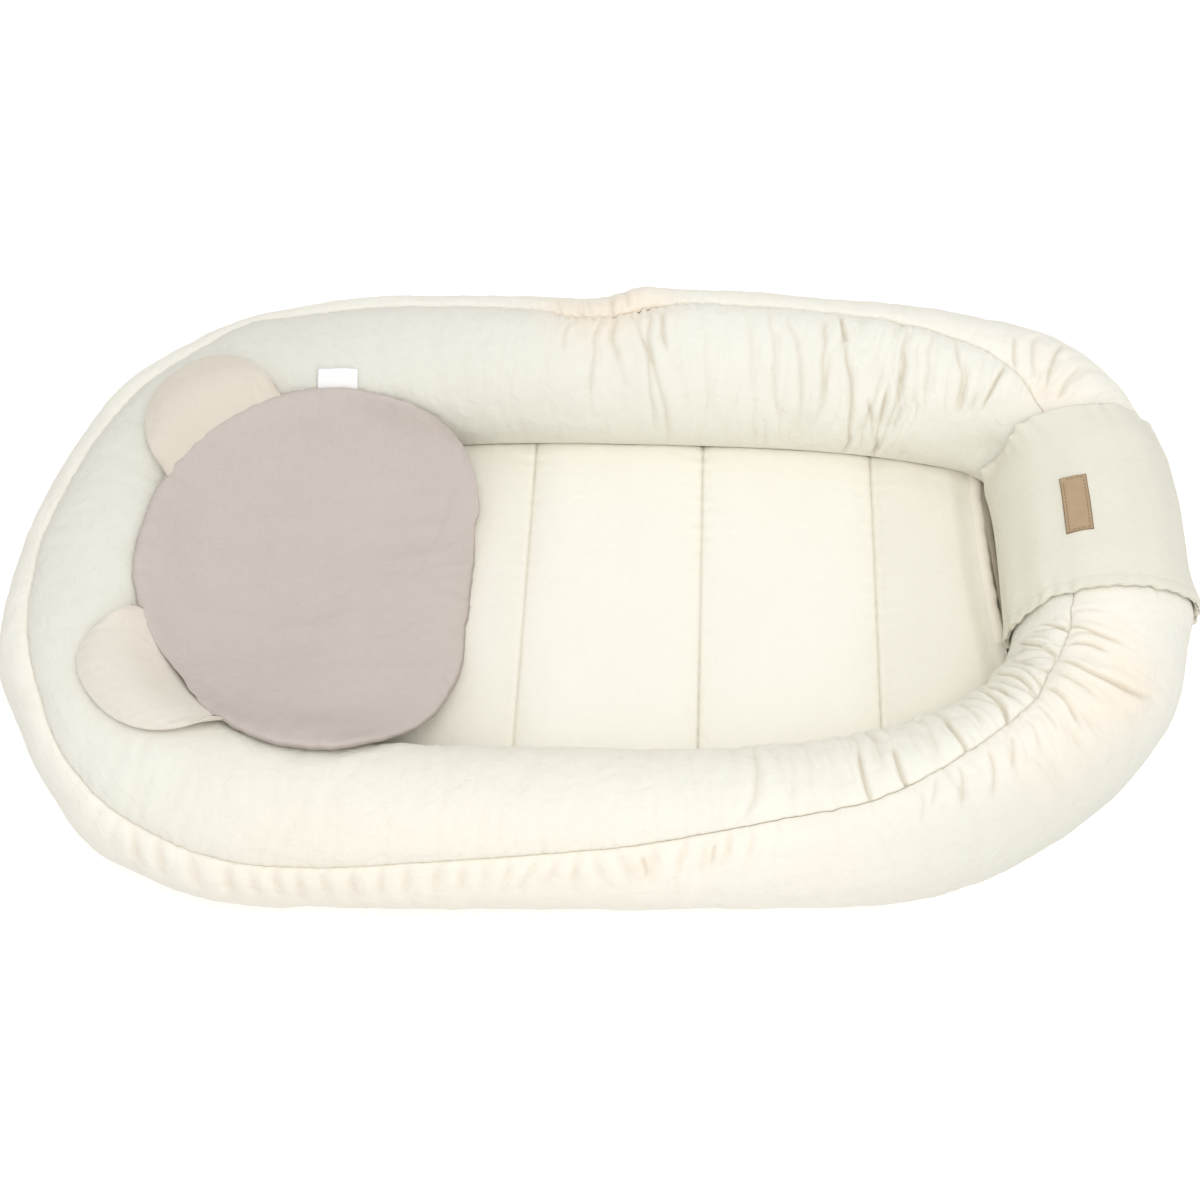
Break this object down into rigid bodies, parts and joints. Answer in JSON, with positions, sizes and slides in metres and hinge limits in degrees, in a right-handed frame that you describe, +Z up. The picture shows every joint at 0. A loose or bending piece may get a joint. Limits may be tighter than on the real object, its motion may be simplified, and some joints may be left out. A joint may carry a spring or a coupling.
{
  "type": "infant lounger",
  "caption": "Padded baby nest: a stuffed bumper bent round a quilted floor, its ends held by a wrap-round cuff, with a loose head pillow that has round ears.",
  "frame": {"origin": "on the floor, under the middle of the part's box", "axes": "+X towards the foot end with the cuff, +Y towards the far arm of the bumper, +Z up"},
  "size_m": [0.9026, 0.5228, 0.1397],
  "materials": {
    "outer_muslin": "warm cream double muslin, matte, gathered at the foot",
    "inner_muslin": "cream double muslin, matte, crinkled",
    "floor_muslin": "light cream double muslin over wadding, quilted",
    "cuff_muslin": "cream cotton, matte, smooth",
    "binding_cloth": "cream bias binding, matte",
    "lining_cloth": "plain cream cotton, matte",
    "wadding": "white fibre filling",
    "pillow_muslin": "greige double muslin, matte",
    "ear_muslin": "cream double muslin, matte",
    "tan_leather": "tan leather, matte, stitched edge, bare",
    "white_satin": "white satin ribbon, soft sheen, bare",
    "fastening_tape": "cream hook-and-loop tape"
  },
  "bodies": {
    "nest": {"base_sheet": "lining_cloth", "floor_filling_1": "wadding", "floor_filling_2": "wadding", "floor_filling_3": "wadding", "floor_filling_4": "wadding", "floor_filling_5": "wadding", "mattress_top": "floor_muslin", "foot_edge_binding": "binding_cloth", "bumper_stuffing": "wadding", "bumper_inner_panel": "inner_muslin", "bumper_outer_panel": "outer_muslin", "bumper_end_cap_far": "lining_cloth", "bumper_end_cap_near": "lining_cloth", "cuff_face": "cuff_muslin", "cuff_batting": "wadding", "cuff_lining": "lining_cloth", "loop_tape": "fastening_tape", "leather_label": "tan_leather"},
    "pillow": {"pillow_front": "pillow_muslin", "pillow_back": "pillow_muslin", "pillow_stuffing": "wadding", "ear_far_front": "ear_muslin", "ear_far_back": "ear_muslin", "ear_far_padding": "wadding", "ear_near_front": "ear_muslin", "ear_near_back": "ear_muslin", "ear_near_padding": "wadding"},
    "closing_tab": {"tab_face": "cuff_muslin", "tab_lining": "lining_cloth", "hook_tape": "fastening_tape"},
    "label_flap": {"care_label": "white_satin"}
  },
  "joints": [
    {"name": "pillow_lift", "type": "slide", "parent": "nest", "child": "pillow", "axis": [0, 0, 1], "range_m": [0, 0.25]},
    {"name": "tab_open", "type": "hinge", "parent": "nest", "child": "closing_tab", "pos_m": [0.4449, 0.035, 0.0314], "axis": [0, -1, 0], "range_deg": [0, 150]},
    {"name": "label_flip", "type": "hinge", "parent": "pillow", "child": "label_flap", "pos_m": [-0.2205, 0.1313, 0.1126], "axis": [1, 0, 0], "range_deg": [0, 75]}
  ]
}
